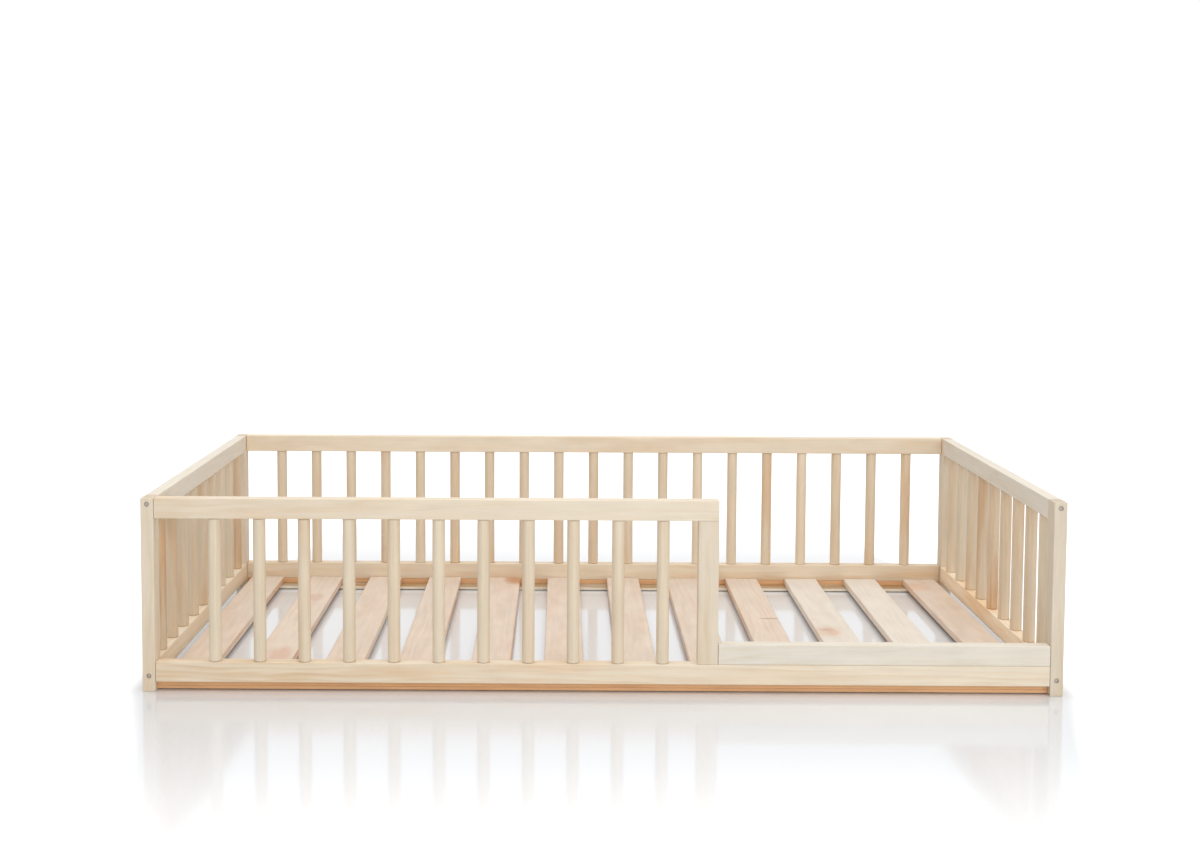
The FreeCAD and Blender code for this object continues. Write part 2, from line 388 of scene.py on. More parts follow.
def make_mesh(name, points, faces, materials, face_slots=None, smooth=None, log=None,
              batch=None, normals=None):
    """An object at the origin. Faces are lists of points, and smooth says which bend."""
    mesh = bpy.data.meshes.new(name)
    mesh.from_pydata(np.asarray(points).tolist(), [], [list(map(int, f)) for f in faces])
    for material in materials:
        mesh.materials.append(material)
    if face_slots is not None:
        mesh.polygons.foreach_set("material_index", np.asarray(face_slots, np.int32))
    if smooth is not None:
        mesh.polygons.foreach_set("use_smooth", np.asarray(smooth, bool))
    for title, values in (("log", log), ("batch", batch)):
        if values is not None:
            field = mesh.attributes.new(title, "FLOAT_VECTOR", "POINT")
            field.data.foreach_set("vector", np.asarray(values, np.float32).ravel())
    mesh.validate()
    mesh.update()
    if normals is not None:
        set_normals(mesh, normals, smooth)
    piece = bpy.data.objects.new(name, mesh)
    bpy.context.scene.collection.objects.link(piece)
    return piece


# %% [markdown]
# The random numbers come from one seeded generator, so the same stick always gets the
# same grain. The heart of its tree lies 30 to 70 mm from the stick's axis: close enough
# for the rings to curve across a face, far enough to avoid the knots round the middle of
# a trunk.

# %% A place in a tree
random = np.random.default_rng(427)
TRUNK = 40.0  # metres of trunk that the sticks come from
HEART = (0.030, 0.070)  # from a stick's axis to the tree's heart


def place_in_log(local, heart=None):
    """Moves a stick's own coordinates to a random place in a tree."""
    angle = random.uniform(0, 2 * np.pi)
    distance = random.uniform(*HEART) if heart is None else heart
    return local + np.array([random.uniform(0, TRUNK), distance * np.cos(angle),
                             distance * np.sin(angle)])


# %% [markdown]
# ## Planed boards
#
# A board is a rounded rectangle carried along its length. The planer leaves sharp edges,
# and sanding takes them off to a radius of 1 to 3 mm, a little more in some places than
# in others. At both ends the outline shrinks along a quarter circle, so the end is eased
# too. A Bevel modifier on a box would look alike, but here the radius can vary along the
# edge and each point knows its place in the log.
#
# The ends are faces of their own with the end-grain material.

# %% The outline of a board
def outline_parts(arc_steps=4, flat_marks=()):
    """The outline in three arrays, so that it can shrink without bending.

    A point is side * (half size - radius) + arc * radius + shift. Corner points have a
    side of plus or minus one and an arc on the unit circle. Points marked on the two
    narrow faces have side and arc (1, 0) or (-1, 0), and their shift along that face.
    """
    turn = np.linspace(0, np.pi / 2, arc_steps + 1)
    side, arc, shift = [], [], []
    marks = np.asarray(flat_marks, float)
    for corner, (sv, sw) in enumerate(((1, 1), (-1, 1), (-1, -1), (1, -1))):
        angle = turn + corner * np.pi / 2
        side.append(np.tile([sv, sw], (len(turn), 1)))
        arc.append(np.stack([np.cos(angle), np.sin(angle)], axis=1))
        shift.append(np.zeros((len(turn), 2)))
        if len(marks) and corner in (1, 3):
            # Corner 1 ends on the -v face, which runs towards -w; corner 3 on the +v face.
            face = corner - 2
            side.append(np.tile([face, 0], (len(marks), 1)))
            arc.append(side[-1])
            shift.append(np.outer(marks, [0, face]))
    return [np.concatenate(part).astype(float) for part in (side, arc, shift)]


# %% [markdown]
# Stations are the places along the board where an outline stands. They crowd at both
# ends, where the quarter circle is, and lie about 30 mm apart in between. The lean is the
# surface's turn from facing the board's end (0) to facing its side (a quarter turn).

# %% Stations along a stick
STATION_STEP = 0.030
APART = 3 * MM  # even stations give way to extra ones closer than this


def stations(length, ease, steps=4, extra=()):
    """Distances along the stick, how far the outline has shrunk, and the lean at each."""
    turn = np.linspace(0, np.pi / 2, steps + 1)
    end_run = ease * (1 - np.cos(turn))
    count = max(2, int(round(length / STATION_STEP)))
    inner = np.linspace(ease, length - ease, count + 1)[1:-1]
    extra = np.asarray(extra, float)
    if len(extra):
        nearest = np.abs(inner[:, None] - extra[None, :]).min(axis=1)
        inner = np.sort(np.concatenate([inner[nearest > APART], extra]))
    along = np.concatenate([end_run, inner, (length - end_run)[::-1]])
    lean = np.concatenate([turn, np.full(len(inner), np.pi / 2), turn[::-1]])
    return along, ease * (1 - np.sin(lean)), lean


def lengthwise(along, length, lean):
    """How far the surface's direction points along the stick: 1 or -1 at its ends."""
    return np.where(along < length / 2, -1, 1) * np.cos(lean)


# %% The surface of a board
END_EASE = 0.7  # ends are rounded less than the long edges
UNEVEN = 0.15  # sanding varies the radius by this share
UNEVEN_WAVES = (7.0, 17.0, 31.0)  # in radians per metre


def board_points(size, ease, flat_marks=(), extra=()):
    """Rings of points and their normals, for a board centred on its axis.

    The corner radius is the ease times 1 plus 15 percent of a slow random wave. A ring is
    side * (half - radius) + arc * (radius - inset) + shift.
    """
    length, width, thickness = size
    side, arc, shift = outline_parts(flat_marks=flat_marks)
    along, inset, lean = stations(length, END_EASE * ease, extra=extra)
    phase = random.uniform(0, 2 * np.pi, 3)
    wave = sum(np.sin(along * k + p) for k, p in zip(UNEVEN_WAVES, phase)) / 3
    radius = ease * (1 + UNEVEN * wave)
    half = np.array([width / 2, thickness / 2])
    flat = (side[None] * (half - radius[:, None, None])
            + arc[None] * (radius - inset)[:, None, None] + shift[None])
    run = np.broadcast_to((along - length / 2)[:, None, None], flat.shape[:2] + (1,))
    tilt = np.broadcast_to(lengthwise(along, length, lean)[:, None, None], run.shape)
    normals = np.concatenate([tilt, arc[None] * np.sin(lean)[:, None, None]], axis=2)
    return np.concatenate([run, flat], axis=2), normals


# %% A finished board
def to_world(points, centre, axes):
    """Local along, across and through become the world axes named in axes, such as xzy.

    Also says whether faces still point outwards, which only an even swap of axes keeps.
    """
    order = ["xyz".index(axis) for axis in axes]
    world = np.empty_like(points)
    world[..., order] = points
    even = (order[1] - order[0]) % 3 == 1
    return world + np.asarray(centre, float), even


def add_board(name, low, high, axes, ease, face_wood, batch, replaces, heart=None,
              drift=None):
    """A finished board between two corners: mesh, grain, materials and its CAD node.

    Drift takes the share along the board (0 to 1) and the directions that the points
    face, and returns what is added to the batch numbers point by point.
    """
    size = (high - low)[["xyz".index(axis) for axis in axes]]
    rings, normals = board_points(size, ease)
    flat = rings.reshape(-1, 3)
    world, even = to_world(flat, (low + high) / 2, axes)
    facing = to_world(normals.reshape(-1, 3), (0, 0, 0), axes)[0]
    faces = tube_faces(*rings.shape[:2], even)
    sides = len(faces) - 2
    tones = np.tile(batch, (len(flat), 1))
    if drift is not None:
        tones = tones + drift(flat[:, 0] / size[0] + 0.5, facing)
    piece = make_mesh(name, world, faces, [face_wood, end_grain],
                      face_slots=[0] * sides + [1, 1],
                      smooth=[True] * sides + [False, False],
                      log=place_in_log(flat, heart), batch=tones, normals=facing)
    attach(piece, "root")
    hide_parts(replaces)
    return piece


# %% [markdown]
# ## Rails, stile and threshold
#
# Each long rail is tenoned into its posts, and the tenon doesn't show, so the visible
# board runs from post to post. It stops 0.7 mm short of them, which reads as the thin
# dark line of a joint. The front top rail has only one such end, because the other one
# stands free at the doorway.

# %% Boards of the four panels
JOINT = 0.7 * MM
EASE = 2.2 * MM


def shoulder_box(node, **faces):
    """A node's box without its tenons: faces such as x_low are where shoulders meet."""
    low, high = node_box(node)
    for face, value in faces.items():
        (low if face.endswith("low") else high)["xyz".index(face[0])] = value
    return low, high


def changing(low_end, high_end, power=1.5):
    """A board whose batch numbers change towards its ends, slowly in the middle."""
    def drift(share, facing):
        return np.outer((1 - share) ** power, low_end) + np.outer(share ** power, high_end)
    return drift


post_faces = {"x_low": INNER_LEFT + JOINT, "x_high": INNER_RIGHT - JOINT}
stile_face = node_box("doorway_stile")[1][0]

# Name: axes, the faces that tenons pass, and the batch numbers (orange share, darker by,
# figure).
frame_boards = {
    "front_top_rail": ("xzy", {"x_low": INNER_LEFT + JOINT}, (0.04, -0.02, 0.0)),
    "front_bottom_rail": ("xzy", post_faces, (0.10, -0.09, 0.1)),
    "back_top_rail": ("xzy", post_faces, (0.08, -0.05, 0.0)),
    "back_bottom_rail": ("xzy", post_faces, (0.45, -0.03, 0.2)),
    "left_top_rail": ("yzx", {}, (0.08, 0.01, 0.0)),
    "left_bottom_rail": ("yzx", {}, (0.25, -0.04, 0.0)),
    "right_top_rail": ("yzx", {}, (0.05, 0.02, 0.0)),
    "right_bottom_rail": ("yzx", {}, (0.60, -0.22, 0.0)),
    "doorway_stile": ("zxy", {"z_low": LOW_RAIL_TOP, "z_high": HIGH_RAIL_BOTTOM},
                      (0.16, 0.07, 0.0)),
    "doorway_threshold": ("xzy", {**post_faces, "x_low": stile_face + JOINT},
                          (0.02, 0.05, 0.0)),
}
whiter = ("doorway_threshold", "left_top_rail", "right_top_rail")
drifts = {
    "front_top_rail": changing((0.30, 0.03, 0.2), (0, 0.03, 0)),
    "front_bottom_rail": changing((0.50, 0.07, 0.5), (0, 0.085, 0)),
    "back_top_rail": changing((0, 0, 0), (0.22, 0.05, 0)),
}

for name, (axes, faces, batch) in frame_boards.items():
    low, high = shoulder_box(name, **faces)
    wood = sapwood_pine if name in whiter else planed_pine
    piece = add_board(name + "_wood", low, high, axes, EASE, wood, batch, name,
                      drift=drifts.get(name))
    print(name, "open edges:", open_edges(piece))
print("frame boards:", len(frame_boards))


# %% [markdown]
# ## Posts with counterbored screw holes
#
# A post is the same kind of board, but each has two screws in its outer face, and each
# screw's head sits in a shallow round hole. A Boolean modifier could cut the hole, but
# it would throw away the log attribute on the new points.
#
# Instead the board's grid gets extra lines round the screw, so that a 16 mm square of
# faces can be left out. A ring of quads then runs from the square's edge to the rim of
# the hole, another down its wall, and one face closes its floor.

# %% A post with two counterbores
BORE_RADIUS = 5.3 * MM
BORE_DEPTH = 3.2 * MM
BORE_RIM = 0.3 * MM  # the hole's sharp edge, taken off
PATCH_HALF = 8 * MM
PATCH_STEPS = 8
ON_FACE = 1e-5  # a point this close to the face lies on it


def square_path(centre_u):
    """Points round a square, anticlockwise in the (w, u) plane, starting at a corner."""
    run = np.linspace(-PATCH_HALF, PATCH_HALF, PATCH_STEPS + 1)[:-1]
    side = np.full(PATCH_STEPS, PATCH_HALF)
    w = np.concatenate([run, side, -run, -side])
    u = np.concatenate([-side, run, side, -run])
    return w, u + centre_u


def add_post(name, batch, screw_heights):
    """A post whose outer face (front or back) has a round hole at each screw height."""
    low, high = node_box(name)
    centre, span = (low + high) / 2, high - low
    outer = -1 if centre[1] < 0 else 1
    face_v = outer * span[1] / 2
    marks = np.linspace(-PATCH_HALF, PATCH_HALF, PATCH_STEPS + 1)
    bores = [z - low[2] for z in screw_heights]
    extra = np.concatenate([bore + marks for bore in bores])
    rings, normals = board_points((span[2], span[1], span[0]), EASE, flat_marks=marks,
                                  extra=extra)
    count, around = rings.shape[:2]
    flat = rings.reshape(-1, 3)
    quads = side_faces(count, around)

    # Leave out the quads of the outer face whose middle lies in a screw's square.
    middle = flat[quads].mean(axis=1)
    on_face = middle[:, 1] * outer > span[1] / 2 - ON_FACE
    inside = np.zeros(len(quads), bool)
    for bore in bores:
        inside |= (on_face & (abs(middle[:, 0] + span[2] / 2 - bore) < PATCH_HALF)
                   & (abs(middle[:, 2]) < PATCH_HALF))
    faces = quads[~inside].tolist()
    points = [flat]
    number = len(flat)
    smooth = [True] * len(faces)

    # From each square's edge, rings go to the rim, over it and down the wall.
    for bore in bores:
        bore_u = bore - span[2] / 2
        w, u = square_path(bore_u)
        angle = np.arctan2(u - bore_u, w)
        edge = [int(np.argmin(np.abs(flat - [uu, face_v, ww]).sum(axis=1)))
                for ww, uu in zip(w, u)]
        levels = ((BORE_RADIUS + BORE_RIM, 0.0), (BORE_RADIUS, BORE_RIM),
                  (BORE_RADIUS, BORE_DEPTH))
        previous = np.array(edge)
        for radius, depth in levels:
            ring = np.stack([bore_u + radius * np.sin(angle),
                             np.full(len(angle), face_v - outer * depth),
                             radius * np.cos(angle)], axis=1)
            points.append(ring)
            current = np.arange(number, number + len(ring))
            number += len(ring)
            strip = np.stack([previous, np.roll(previous, -1), np.roll(current, -1),
                              current], axis=1)
            faces += (strip if outer > 0 else strip[:, ::-1]).tolist()
            smooth += [False] * len(strip)
            previous = current
        faces.append((previous if outer > 0 else previous[::-1]).tolist())
        smooth.append(False)
    sides = len(faces)
    faces += end_faces(count, around)
    flat = np.concatenate(points)
    hole_normals = np.zeros((number - count * around, 3))
    world, even = to_world(flat, centre, "zyx")
    facing = to_world(np.concatenate([normals.reshape(-1, 3), hole_normals]),
                      (0, 0, 0), "zyx")[0]
    if not even:
        faces = [face[::-1] for face in faces]

    # The squares' inner points aren't used any more, so the rest is numbered anew.
    used, packed = np.unique(np.concatenate([np.array(f) for f in faces]),
                             return_inverse=True)
    faces = np.split(packed, np.cumsum([len(face) for face in faces])[:-1])
    piece = make_mesh(name + "_wood", world[used], faces, [planed_pine, end_grain],
                      face_slots=[0] * sides + [1, 1], smooth=smooth + [False, False],
                      log=place_in_log(flat[used]),
                      batch=np.tile(batch, (len(used), 1)), normals=facing[used])
    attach(piece, "root")
    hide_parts(name)
    return piece


SCREW_EDGE = 13 * MM  # from a rail's outer edge to the screw's middle
SCREW_HEIGHTS = (node_box("left_bottom_rail")[0][2] + SCREW_EDGE,
                 post_high[2] - SCREW_EDGE)
posts = {
    "front_left_post": (0.25, 0.04, 0.0),
    "front_right_post": (0.10, 0.14, 0.0),
    "back_left_post": (0.20, 0.03, 0.0),
    "back_right_post": (0.20, 0.03, 0.0),
}
for name, batch in posts.items():
    piece = add_post(name, batch, SCREW_HEIGHTS)
    print(name, "has", len(piece.data.polygons), "faces, open edges:", open_edges(piece))


# %% [markdown]
# ## Spindles
#
# A spindle is a 27 mm dowel: a planed square stick run through a rounding cutter, then
# sanded. The cutter leaves it very slightly wavy, so the radius here varies by a tenth
# of a millimetre. The point at height t and turn a is the axis plus radius(t, a) times
# (cos a, sin a). The shoulders at both ends are eased by 1.3 mm. That small groove round
# each spindle's foot, and painted shade on the wood beside it, draw a thin dark line.

# %% A dowel
low, high = node_box("front_spindle_01")
SPINDLE = high[1] - low[1]
SHOULDER_EASE = 1.3 * MM
CUTTER_WAVE = 0.1 * MM
CUTTER_TURNS = 21  # radians of the cutter's wave per metre of stick
# Painted shade: a thin band at each spindle's foot is made darker and more orange.
FOOT_SHADE_LENGTH = 2.6 * MM  # from a spindle's end to where its painted shade stops
PAINTED_FOOT_SHADE = (0.5, 0.22, 0.0)  # added to the batch numbers there


def dowel_points(radius, length, around=40):
    """Rings of a round stick along its own first axis and their normals."""
    along, inset, lean = stations(length, SHOULDER_EASE, steps=3,
                                  extra=(FOOT_SHADE_LENGTH, length - FOOT_SHADE_LENGTH))
    t = (along - length / 2)[:, None]
    a = np.linspace(0, 2 * np.pi, around, endpoint=False)[None, :]
    phase = random.uniform(0, 2 * np.pi, 2)
    wave = np.sin(CUTTER_TURNS * t + phase[0]) * np.cos(2 * a + phase[1])
    r = radius - inset[:, None] + CUTTER_WAVE * wave
    points = np.stack([np.broadcast_to(t, r.shape), r * np.cos(a), r * np.sin(a)], axis=-1)
    out = np.sin(lean)[:, None]
    tilt = np.broadcast_to(lengthwise(along, length, lean)[:, None], r.shape)
    return points, np.stack([tilt, out * np.cos(a), out * np.sin(a)], axis=-1)


# %% Dowels on the four panels
OVERLAP = 0.1 * MM  # each end runs this far into its rail, so that no light gets by


def add_spindles(name, axes_xy, batches, replaces):
    """One object for a panel's dowels, each with its own place in a log."""
    points, faces, smooth, logs, tones, facing = [], [], [], [], [], []
    bottom, top = LOW_RAIL_TOP - OVERLAP, HIGH_RAIL_BOTTOM + OVERLAP
    start = 0
    for (x, y), batch in zip(axes_xy, batches):
        rings, normals = dowel_points(SPINDLE / 2, top - bottom)
        flat = rings.reshape(-1, 3)
        world, even = to_world(flat, (x, y, (bottom + top) / 2), "zxy")
        stick = tube_faces(*rings.shape[:2], even, start)
        faces += stick
        smooth += [True] * (len(stick) - 2) + [False, False]
        points.append(world)
        facing.append(to_world(normals.reshape(-1, 3), (0, 0, 0), "zxy")[0])
        logs.append(place_in_log(flat))
        # Painted shade: points near either end of a spindle get the darker, more orange
        # tone.
        in_painted_foot_shade = (top - bottom) / 2 - abs(flat[:, 0]) < 0.6 * FOOT_SHADE_LENGTH
        tones.append(batch + np.outer(in_painted_foot_shade, PAINTED_FOOT_SHADE))
        start += len(flat)
    piece = make_mesh(name, np.concatenate(points), faces, [sanded_pine], smooth=smooth,
                      log=np.concatenate(logs), batch=np.concatenate(tones),
                      normals=np.concatenate(facing))
    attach(piece, "root")
    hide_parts(*replaces)
    return piece


front_tones = [(0.00, 0.02), (0.04, 0.03), (0.24, 0.01), (0.08, 0.01), (0.22, 0.00),
               (0.05, 0.00), (0.14, 0.02), (0.12, 0.01), (0.06, 0.02), (0.12, 0.02),
               (0.08, 0.01)]
for i, tone in enumerate(front_tones, start=1):
    node = f"front_spindle_{i:02d}"
    low, high = node_box(node)
    middle = (low + high) / 2
    add_spindles(node + "_wood", [middle[:2]], [(*tone, 0)], [node])
print(f"spindle diameter {SPINDLE / MM:.1f} mm, in front {len(front_tones)} of them")

# %% [markdown]
# The other three panels each are one node with many spindles. Their axes are evenly
# spaced between the node's ends, so the box and the count give every place.

# %% Back and end spindles
def even_axes(node, count, along):
    """The spindles' axes from the node's box: first and last stand a radius inside it."""
    low, high = node_box(node)
    middle = (low + high) / 2
    places = np.linspace(low[along] + SPINDLE / 2, high[along] - SPINDLE / 2, count)
    return [(p, middle[1]) if along == 0 else (middle[0], p) for p in places]


def mixed_batches(count, orange, dark):
    """Random orange and dark numbers: most sticks pale, a few strongly coloured."""
    warm = orange * random.beta(1.2, 1.8, count) * 2
    deep = dark * random.uniform(0.3, 1.0, count)
    return np.stack([warm, deep, np.zeros(count)], axis=1)


# Name: the axis along which they stand, and their batch numbers.
panels = {
    "back_spindles": (0, mixed_batches(19, 0.26, -0.02)),
    "left_spindles": (1, mixed_batches(9, 0.30, 0.06)),
    "right_spindles": (1, mixed_batches(9, 0.36, 0.06)),
}

# A few sticks stand out in the photo and get their own numbers.
panels["back_spindles"][1][[12, 15, 18], 0] = (0.10, 0.05, 0.40)
panels["back_spindles"][1][[12, 15, 18], 1] = -0.06
panels["left_spindles"][1][[0, 1, 4, 8], 0] = (0.75, 0.4, 0.5, 0.6)
panels["right_spindles"][1][4, 0] = 0.9
for node, (along, batches) in panels.items():
    axes_xy = even_axes(node, len(batches), along)
    add_spindles(node + "_wood", axes_xy, batches, [node])
    print(node, "has", len(axes_xy), "sticks")

# %% [markdown]
# ## Slats, ledges and battens
#
# Slats are wide thin boards with well rounded edges. They lie on two ledges, and a small
# batten fills the step between each ledge and its rail. All of these are boards again,
# only with other radii and woods.

# %% Slats
STRAIGHT = 0.9  # a point faces an axis when its direction has this much along it
SLAT_EASE = 3.0 * MM
SLAT_HEART = (0.035, 0.06)


def painted_slat_edge_light(share, facing):
    """Painted light: side faces lighter and more orange, undersides more orange, for warm
    shade.
    """
    # Painted light on the side faces, and painted warm shade on the undersides.
    edge = np.outer(abs(facing[:, 0]) > STRAIGHT, (0.5, -0.12, 0.0))
    return edge + np.outer(facing[:, 2] < -STRAIGHT, (1.0, 0.0, 0.0))


slat_tones = [(0.12, 0.02), (0.08, 0.02), (0.16, 0.03), (0.12, 0.03), (0.22, 0.03),
              (0.18, 0.03), (0.14, 0.03), (0.12, 0.04), (0.12, 0.02), (0.06, 0.01),
              (0.02, -0.01), (0.12, 0.02)]
pale_slats = (10, 11)
for i, tone in enumerate(slat_tones, start=1):
    node = f"slat_{i:02d}"
    low, high = node_box(node)
    wood = pale_slat_pine if i in pale_slats else slat_pine
    add_board(node + "_wood", low, high, "yxz", SLAT_EASE, wood, (*tone, 0), node,
              heart=random.uniform(*SLAT_HEART), drift=painted_slat_edge_light)
print("slats:", len(slat_tones), "of which paler:", len(pale_slats))


# %% Ledges and battens
def painted_ledge_top_shade(share, facing):
    """Painted shade: each ledge's top face, deep under its rail, is more orange and darker.
    """
    # Painted shade: faces that look straight up get more orange and a darker tone.
    return np.outer(facing[:, 2] > STRAIGHT, (1.0, 0.46, 0.0))


# Name: ease, wood, batch numbers and drift. The back ledge is given paler wood as a
# painted highlight, so that its edge shows as a light line along the floor.
ledge_boards = {
    "front_ledge": (1.0 * MM, ledge_pine_with_painted_bounce, (0.3, 0.0, 0.0), painted_ledge_top_shade),
    "back_ledge": (1.0 * MM, planed_pine, (0.0, -0.08, 0.0), painted_ledge_top_shade),
    "front_ledge_batten": (1.2 * MM, ledge_pine_with_painted_bounce, (0.3, 0.0, 0.0), None),
    "back_ledge_batten": (1.2 * MM, ledge_pine_with_painted_bounce, (0.0, 0.02, 0.0), None),
}
for node, (ease, wood, batch, drift) in ledge_boards.items():
    low, high = node_box(node)
    add_board(node + "_wood", low, high, "xyz", ease, wood, batch, node,
              drift=drift)
print("boards under the slats:", list(ledge_boards))


# %% [markdown]
# ## Connector screws
#
# Eight socket screws pull the end panels up to the posts. Each is a turned solid, apart
# from the six-sided socket, so it is a surface of rings. A ring's radius is a number
# where it is round. Inside the socket it is the distance from the middle to a side of a
# hexagon: half the key size / cos(a modulo 60 degrees - 30 degrees).

# %% A screw with a hexagonal socket
SHANK_RADIUS = 3.4 * MM
HEAD_RADIUS = 4.7 * MM
HEAD_HEIGHT = 1.9 * MM
HEAD_ROUNDING = 0.6 * MM
SOCKET = 5.0 * MM  # the key's size, flat to flat
SOCKET_DEPTH = 2.2 * MM  # and a flat cone of 0.3 mm below it
CHAMFER = 0.25 * MM  # round the socket's mouth
SUNK = 1.1 * MM  # from the wood's face down to the head's
BITE = 30 * MM  # the part of the shank that holds in the end rail


def screw_points(length, around=48):
    """Rings from the shank's tip, up the outside, over the head and down the socket."""
    a = np.linspace(0, 2 * np.pi, around, endpoint=False)
    hexagon = SOCKET / 2 / np.cos((a % (np.pi / 3)) - np.pi / 6)
    face = -SUNK
    back = face - HEAD_HEIGHT
    rings = [(0.5 * SHANK_RADIUS, -length), (SHANK_RADIUS, -length + 0.5 * SHANK_RADIUS),
             (SHANK_RADIUS, back), (HEAD_RADIUS, back)]
    rings += [(HEAD_RADIUS - HEAD_ROUNDING + HEAD_ROUNDING * np.cos(b),
               face - HEAD_ROUNDING + HEAD_ROUNDING * np.sin(b))
              for b in np.linspace(0, np.pi / 2, 5)]
    floor = face - SOCKET_DEPTH
    rings += [(hexagon + CHAMFER, face), (hexagon, face - CHAMFER), (hexagon, floor),
              (0.3 * hexagon, floor - 0.3 * MM)]
    return np.stack([np.stack([np.full(around, h), r * np.cos(a), r * np.sin(a)], axis=1)
                     for r, h in rings])


# %% All eight screws
def add_screws(name, node, heights):
    """One object for the screws, each pointing into the bed from a post's face."""
    points, faces = [], []
    start = 0
    reach = post_high[1] - post_low[1] + BITE
    middle = (post_low[0] + post_high[0]) / 2
    for x, z, outward in itertools.product((middle, -middle), heights, (-1, 1)):
        rings = screw_points(reach)
        local = rings.reshape(-1, 3)
        turn = random.uniform(0, np.pi / 3)
        spin = np.array([[np.cos(turn), -np.sin(turn)], [np.sin(turn), np.cos(turn)]])
        local[:, 1:] = local[:, 1:] @ spin.T
        local[:, 0] *= outward
        world, even = to_world(local, (x, outward * BACK, z), "yzx")
        # Pointing a screw the other way turns its faces inside out once more.
        faces += tube_faces(*rings.shape[:2], even != (outward < 0), start)
        points.append(world)
        start += len(local)
    piece = make_mesh(name, np.concatenate(points), faces, [zinc_steel])
    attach(piece, "root")
    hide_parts(node)
    return piece


screws = add_screws("socket_screws", "connector_screws", SCREW_HEIGHTS)
print("screws have", len(screws.data.polygons), "faces, open edges:", open_edges(screws))

# %% [markdown]
# The brads under ledges and slats are CAD solids with the right shape already. They only
# need the steel.

# %% Steel on the brads
for node in ("ledge_brads", "slat_brads"):
    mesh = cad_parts[node].data
    mesh.materials.clear()
    mesh.materials.append(zinc_steel)


# %% [markdown]
# ## The studio
#
# The bed stands on glossy white acrylic, which mirrors it faintly at the low angle of
# the camera. A white sheet under these lamps would burn out and hide both the shadow and
# the reflection. So the sheet is a light grey, and it adds a little light of its own that
# grows away from the bed and that only the camera and mirror-like surfaces see.

# %% What the camera sees, straight or in a mirror
def seen_rays(tree):
    """Two values: 1 for what the camera sees in any way, 1 for what it sees straight."""
    ray = add(tree, "LightPath").outputs
    mirror = add(tree, "Math", "MAXIMUM", ray["Is Camera Ray"], ray["Is Glossy Ray"])
    seen = add(tree, "Math", "MAXIMUM", mirror, ray["Is Transmission Ray"])
    return seen, ray["Is Camera Ray"]


# %% [markdown]
# The lift grows with the distance to a rectangle that holds the bed and the floor just
# in front of it. It grows twenty times faster past the bed's ends. These two sides draw
# in towards the camera, by 30 mm for every 100 mm, so that they follow the mirrored bed.

# %% Floor
ZONE_SHIFT = 0.055  # the rectangle's middle lies this far in front of the bed's
ZONE_HALF = (0.955, 0.545, 0.0)
ZONE_BACK = (-9, -0.11, 0)  # nearer the middle than this, the sides run straight
PAST_END = (20, 6, 0)  # how fast it grows to the side and to the front
IN_FRONT = (0, 1, 0)
LIFT_REACH = 1.35
LIFT = 0.55


def studio_floor(name):
    """Acrylic with a soft mirror, plus a lift towards white that lights nothing."""
    material = bpy.data.materials.new(name)
    tree = empty_graph(material)
    place = add(tree, "TexCoord").outputs["Object"]
    ripple = add(tree, "TexNoise", Vector=place, Scale=3.0, Detail=1.0)
    gloss = add(tree, "MapRange", Value=ripple, From_Min=0.3, From_Max=0.7, To_Min=0.09,
                To_Max=0.12)
    skin = add(tree, "BsdfPrincipled", Base_Color=linear("E2E4E7"), Roughness=gloss,
               IOR=1.5, Coat_Weight=0.6, Coat_IOR=1.5, Coat_Roughness=0.09)
    beside = add(tree, "VectorMath", "ADD", place, (0, ZONE_SHIFT, 0))
    beside = add(tree, "VectorMath", "ABSOLUTE", beside)
    beside = add(tree, "VectorMath", "SUBTRACT", beside, ZONE_HALF)
    beside = add(tree, "VectorMath", "MAXIMUM", beside, ZONE_BACK)
    past_end = add(tree, "VectorMath", "DOT_PRODUCT", beside, PAST_END).outputs["Value"]
    in_front = add(tree, "VectorMath", "DOT_PRODUCT", beside, IN_FRONT).outputs["Value"]
    distance = add(tree, "Math", "MAXIMUM", past_end, in_front)
    away = add(tree, "MapRange", SMOOTH, distance, From_Min=0.0, From_Max=LIFT_REACH,
               To_Min=0.0, To_Max=LIFT)
    lift = add(tree, "Math", "MULTIPLY", seen_rays(tree)[0], away)
    glow = add(tree, "Emission", Color=(1, 1, 1, 1), Strength=lift)
    both = add(tree, "AddShader", None, skin, glow)
    add(tree, "OutputMaterial", Surface=both)
    return material


# %% The sheet of acrylic
def add_floor(half=12, cells=12):
    """A flat grid: x and y run from minus half to plus half a side in metres, z is 0."""
    run = np.linspace(-half, half, cells + 1)
    x, y = np.meshgrid(run, run, indexing="ij")
    points = np.stack([x, y, np.zeros_like(x)], axis=-1).reshape(-1, 3)
    number = np.arange(len(points)).reshape(cells + 1, cells + 1)
    quads = np.stack([number[:-1, :-1], number[1:, :-1], number[1:, 1:], number[:-1, 1:]],
                     axis=-1).reshape(-1, 4)
    floor = make_mesh("studio_floor", points, quads, [studio_floor("glossy white acrylic")])
    return floor


print("floor faces:", len(add_floor().data.polygons))

# %% [markdown]
# ## Light
#
# A white world gives the even, shadowless part. One broad softbox high overhead and one
# behind the camera, a little to the right, give form. They stand well away from the bed,
# so that the rails and the slats below them get nearly the same amount. The world looks
# pure white to the camera, but lights the scene less, so that the lamps still matter.
# Noise removal tints the picture's top rows a little. Past white, the tint is cut off.

# %% World
WORLD_LIGHT = 0.55  # what the world gives the scene, where white is 1
PAST_WHITE = 0.12  # what the camera sees on top of white

world = bpy.data.worlds.new("white studio")
bpy.context.scene.world = world
sky = empty_graph(world)
seen, camera_ray = seen_rays(sky)
level = add(sky, "MapRange", Value=seen, To_Min=WORLD_LIGHT, To_Max=1.0)
level = add(sky, "Math", "MULTIPLY_ADD", camera_ray, PAST_WHITE, level)
white = add(sky, "Background", Color=(1, 1, 1, 1), Strength=level)
add(sky, "OutputWorld", Surface=white)
print("nodes in the world:", len(sky.nodes))


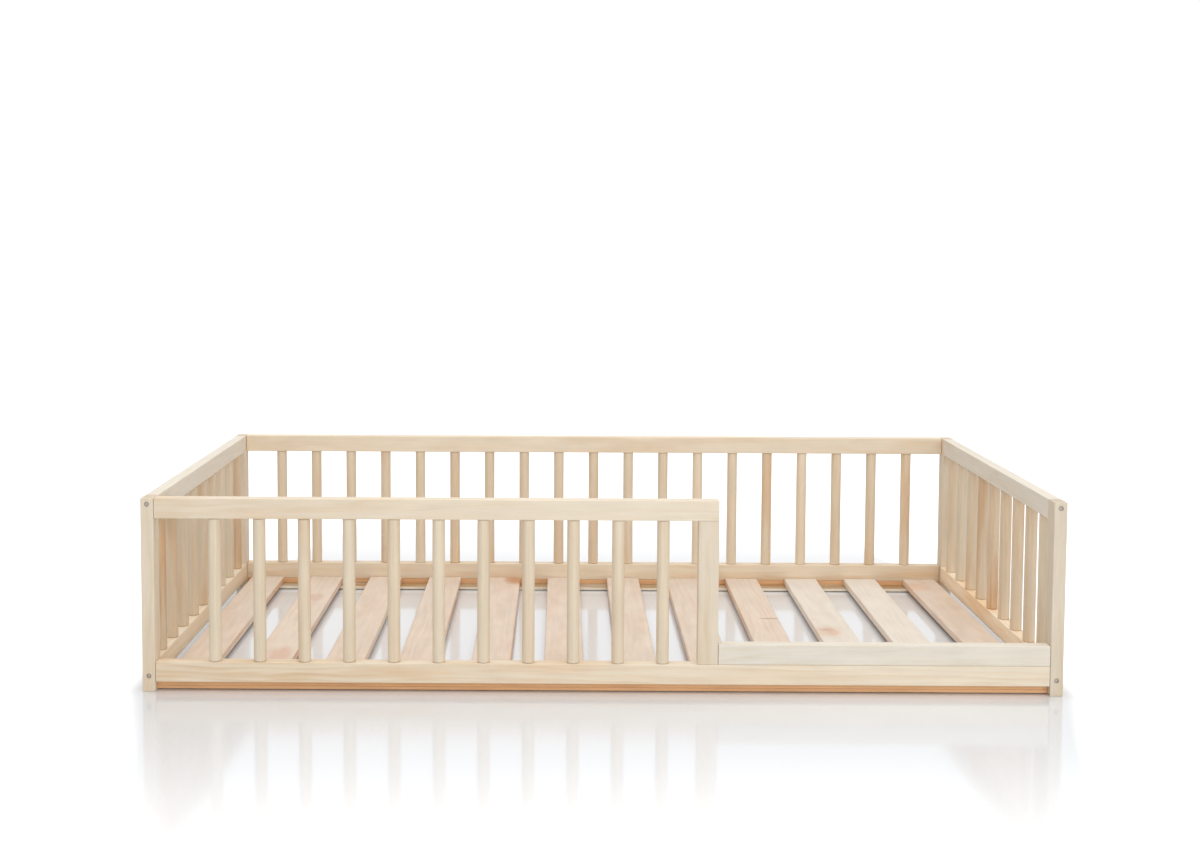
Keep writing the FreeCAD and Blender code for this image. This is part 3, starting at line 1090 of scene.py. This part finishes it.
# %% Lamps
def add_softbox(name, place, target, width, height, power):
    """A rectangular lamp at a place, turned so that it faces a target. Power in watts."""
    lamp = bpy.data.lights.new(name, "AREA")
    lamp.shape = "RECTANGLE"
    lamp.size, lamp.size_y = width, height
    lamp.energy = power
    box = bpy.data.objects.new(name, lamp)
    aim = Vector(target) - Vector(place)
    box.matrix_world = (Matrix.Translation(place)
                        @ aim.to_track_quat("-Z", "Y").to_matrix().to_4x4())
    bpy.context.scene.collection.objects.link(box)


add_softbox("overhead_softbox", place=(0.0, -0.2, 5.2), target=(0.0, 0.0, 0.0),
            width=6.0, height=4.5, power=160)
add_softbox("front_softbox", place=(1.2, -4.2, 1.5), target=(0.1, -0.4, 0.2),
            width=5.5, height=2.0, power=68)
print("lamps:", [lamp.name for lamp in bpy.data.lights])


# %% [markdown]
# ## Camera
#
# The photograph was taken from 3.2 m in front of the bed and 1 m up, a little left of
# the middle, with a normal lens, and cropped afterwards. A crop moves the middle of the
# lens away from the middle of the picture, and Blender's lens shift does the same. The
# angles come from fitting the corners of the bed to the picture.

# %% Camera
PICTURE = (1200, 861)  # in pixels, as are the next two
FOCAL_PIXELS = 1500.35
LENS_MIDDLE = (554.45, 320.85)
PLACE = (-0.09055, -3.65094, 1.00936)
YAW, PITCH, ROLL = 0.0047, 0.0653, 0.0040
SENSOR = 36.0  # millimetres

camera_data = bpy.data.cameras.new("camera")
camera_data.sensor_width = SENSOR
camera_data.lens = FOCAL_PIXELS / PICTURE[0] * SENSOR
camera_data.shift_x = 0.5 - LENS_MIDDLE[0] / PICTURE[0]
camera_data.shift_y = (LENS_MIDDLE[1] - PICTURE[1] / 2) / PICTURE[0]
camera = bpy.data.objects.new("camera", camera_data)
camera.matrix_world = (Matrix.Translation(PLACE)
                       @ Matrix.Rotation(YAW, 4, "Z")
                       @ Matrix.Rotation(np.pi / 2 - PITCH, 4, "X")
                       @ Matrix.Rotation(ROLL, 4, "Z"))
bpy.context.scene.collection.objects.link(camera)
bpy.context.scene.camera = camera
bpy.context.scene.view_settings.view_transform = "Standard"
print(f"lens {camera_data.lens:.1f} mm, shift {camera_data.shift_x:.3f}, "
      f"{camera_data.shift_y:.3f}")

# %% [markdown]
# ## Finishing
#
# Dressing must not change the bed's size.

# %% Update the view layer
bpy.context.view_layer.update()
